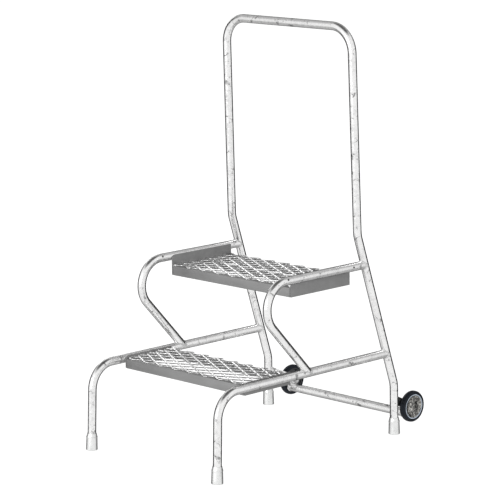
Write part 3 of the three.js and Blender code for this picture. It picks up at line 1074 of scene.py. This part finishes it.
def add_hardware(name, centre, axis):
    bm = bmesh.new()
    profile = [(0, -26.0), (3.2, -26.0), (3.9, -25.3)]
    place = -25.0
    while place < -11.0:
        profile.extend([(3.95, place), (3.4, place + 0.6)])
        place += 1.25
    profile.extend([(4.0, -10.4), (4.0, 3.6), (0, 3.6)])
    lathe(bm, profile, centre, axis, 32)
    hexagon(bm, centre, axis, 3.1, 8.1, 7.5)
    finish_piece(f"{name}_bolt", bm, BOLT, "bolt_steel", "frame", f"{name}_axle_bolt")

    bm = bmesh.new()
    hexagon(bm, centre, axis, -23.6, -17.1, 7.5, bore=4.1)
    finish_piece(f"{name}_nut", bm, BOLT, "bolt_steel", "frame", f"{name}_axle_nut")

    for washer, back in (("inner", -11.5), ("outer", 1.8)):
        bm = bmesh.new()
        profile = ((4.3, back + 0.1), (4.5, back), (8.0, back), (8.2, back + 0.2), (8.2, back + 0.8),
                   (8.0, back + 1), (4.5, back + 1), (4.3, back + 0.9))
        lathe(bm, profile, centre, axis, 48)
        finish_piece(f"{name}_{washer}_disc", bm, BOLT, "bolt_steel", "frame", f"{name}_{washer}_washer")


def add_wheel(name, side):
    centre = Vector((side * WHEEL_X, AXLE_Y, AXLE_Z))
    axis = Vector((side, 0, 0))
    body = f"{name}_wheel"

    bm = bmesh.new()
    lathe(bm, TYRE_PROFILE, centre, axis, WHEEL_SEGMENTS)
    finish_piece(f"{name}_tread_ring", bm, RUBBER, "tyre_rubber", body, f"{name}_tyre", crease=50)

    bm = bmesh.new()
    lathe(bm, HUB_PROFILE, centre, axis, WHEEL_SEGMENTS)
    ribs(bm, centre, axis)
    finish_piece(f"{name}_hub", bm, HUB, "hub_plastic", body, f"{name}_wheel_hub")

    bm = bmesh.new()
    lathe(bm, CAP_PROFILE, centre, axis, WHEEL_SEGMENTS)
    dish(bm, centre, axis)
    finish_piece(f"{name}_cap", bm, CAP, "cap_plastic", body, f"{name}_hub_cap", crease=50)

    bm = bmesh.new()
    lathe(bm, BUSH_PROFILE, centre, axis, 48)
    finish_piece(f"{name}_bush", bm, BRONZE, "bush_bronze", body, f"{name}_wheel_bush")
    add_hardware(name, centre, axis)


# ---------------------------------------------------------------- assembly

add_handrail()
for name, side in SIDES:
    add_front_leg(name, side)
    add_brace(name, side)
    add_ferrule(f"{name}_front", side_point(side, 0, 0), side_point(side, FRONT_SETBACK, LOW_RAIL_Z))
    add_ferrule(f"{name}_rear", side_point(side, REAR_FOOT_Y, 0), side_point(side, REAR_FOOT_Y, KNEE_Z))
    add_bracket(name, side)
    add_wheel(name, side)
for tread, spec in TREADS.items():
    add_tread(tread, spec)
add_cross_bar()
finish_piece("weld_beads", welds, WELD, "zinc_tube", "frame", crease=60)

# ---------------------------------------------------------------- floor, light and camera

# Each row of the room is (start, stop, strength at start, strength at stop), along ROOM_FRONT or along +Z.
ROOM_FRONT = (0.70, -0.70, 0.10)
ROOM_FADE = (-0.27, 0.0, 0.0, 0.95)
ROOM_WALLS = (0.15, 0.65, 0.0, 0.5)
ROOM_CEILING = (0.72, 0.95, 1.0, 0.08)
ROOM_GROUND = (-0.62, -0.25, 0.5, 0.0)

CAMERA_AZIMUTH = math.radians(45.41)
CAMERA_ELEVATION = math.radians(10.72)
CAMERA_ROLL = math.radians(-0.70)
CAMERA_DISTANCE = 7.25
CAMERA_LENS = 179.8
CAMERA_GOAL = Vector((-0.0036, -0.0248, 0.5666))


def add_floor():
    """Pale paper floor. It is seen, but it doesn't show in the metal."""
    bm = bmesh.new()
    bmesh.ops.create_grid(bm, x_segments=1, y_segments=1, size=40)
    mesh = bpy.data.meshes.new("floor")
    bm.to_mesh(mesh)
    bm.free()
    paper = bpy.data.materials.new("floor_paper")
    paper.use_nodes = True
    shader = paper.node_tree.nodes["Principled BSDF"]
    shader.inputs["Base Color"].default_value = (0.4, 0.4, 0.4, 1)
    shader.inputs["Roughness"].default_value = 0.9
    shader.inputs["Emission Color"].default_value = (1, 1, 1, 1)
    shader.inputs["Emission Strength"].default_value = 0.86
    mesh.materials.append(paper)
    floor = bpy.data.objects.new("floor", mesh)
    floor.location.z = -0.0005
    floor.visible_diffuse = False
    floor.visible_glossy = False
    floor.visible_transmission = False
    bpy.context.scene.collection.objects.link(floor)


def add_panel(name, place, goal, width, height, power):
    """Soft rectangular light."""
    light = bpy.data.lights.new(name, "AREA")
    light.shape = "RECTANGLE"
    light.size = width
    light.size_y = height
    light.energy = power
    lamp = bpy.data.objects.new(name, light)
    lamp.location = place
    lamp.rotation_euler = (Vector(goal) - Vector(place)).to_track_quat("-Z", "Y").to_euler()
    bpy.context.scene.collection.objects.link(lamp)


def add_world():
    """White behind everything. The metal reflects a room that is bright in front and dark at the back."""
    world = bpy.data.worlds.new("studio")
    bpy.context.scene.world = world
    world.use_nodes = True
    tree = world.node_tree

    def level(source, start, stop, low, high):
        node = tree.nodes.new("ShaderNodeMapRange")
        node.interpolation_type = "SMOOTHSTEP"
        set_range(node, start, stop, low, high)
        tree.links.new(source, node.inputs["Value"])
        return node.outputs["Result"]

    def combined(operation, a, b):
        node = tree.nodes.new("ShaderNodeMath")
        node.operation = operation
        tree.links.new(a, node.inputs[0])
        tree.links.new(b, node.inputs[1])
        return node.outputs["Value"]

    heading = tree.nodes.new("ShaderNodeTexCoord").outputs["Generated"]
    facing = tree.nodes.new("ShaderNodeVectorMath")
    facing.operation = "DOT_PRODUCT"
    facing.inputs[1].default_value = ROOM_FRONT
    tree.links.new(heading, facing.inputs[0])
    height = tree.nodes.new("ShaderNodeSeparateXYZ")
    tree.links.new(heading, height.inputs[0])
    front = level(facing.outputs["Value"], *ROOM_FADE)
    walls = level(height.outputs["Z"], *ROOM_WALLS)
    ceiling = level(height.outputs["Z"], *ROOM_CEILING)
    ground = level(height.outputs["Z"], *ROOM_GROUND)
    bright = combined("MAXIMUM", front, combined("MAXIMUM", walls, ground))
    soft = tree.nodes["Background"]
    tree.links.new(combined("MULTIPLY", bright, ceiling), soft.inputs["Strength"])
    soft.inputs["Color"].default_value = (1, 1, 1, 1)
    white = tree.nodes.new("ShaderNodeBackground")
    white.inputs["Color"].default_value = (1, 1, 1, 1)
    path = tree.nodes.new("ShaderNodeLightPath")
    blend = tree.nodes.new("ShaderNodeMixShader")
    tree.links.new(path.outputs["Is Camera Ray"], blend.inputs["Fac"])
    tree.links.new(soft.outputs["Background"], blend.inputs[1])
    tree.links.new(white.outputs["Background"], blend.inputs[2])
    tree.links.new(blend.outputs["Shader"], tree.nodes["World Output"].inputs["Surface"])


def add_camera():
    a, e, r = CAMERA_AZIMUTH, CAMERA_ELEVATION, CAMERA_ROLL
    back = Vector((math.sin(a) * math.cos(e), -math.cos(a) * math.cos(e), math.sin(e)))
    level = Vector((math.cos(a), math.sin(a), 0))
    rise = back.cross(level)
    right = level * math.cos(r) + rise * math.sin(r)
    up = rise * math.cos(r) - level * math.sin(r)
    camera = bpy.data.objects.new("camera", bpy.data.cameras.new("camera"))
    bpy.context.scene.collection.objects.link(camera)
    camera.data.lens = CAMERA_LENS
    camera.data.clip_end = 100
    pose = Matrix((right, up, back)).transposed().to_4x4()
    pose.translation = CAMERA_GOAL + back * CAMERA_DISTANCE
    camera.matrix_world = pose
    bpy.context.scene.camera = camera


add_floor()
add_world()
add_panel("key", (0.2, -6.2, 2.0), (0, 0, 0.5), 3.0, 3.0, 150)
add_panel("rear", (-4.3, 1.9, 2.2), (0, 0, 0.5), 2.6, 1.4, 30)
add_camera()
bpy.context.scene.view_settings.view_transform = "Standard"
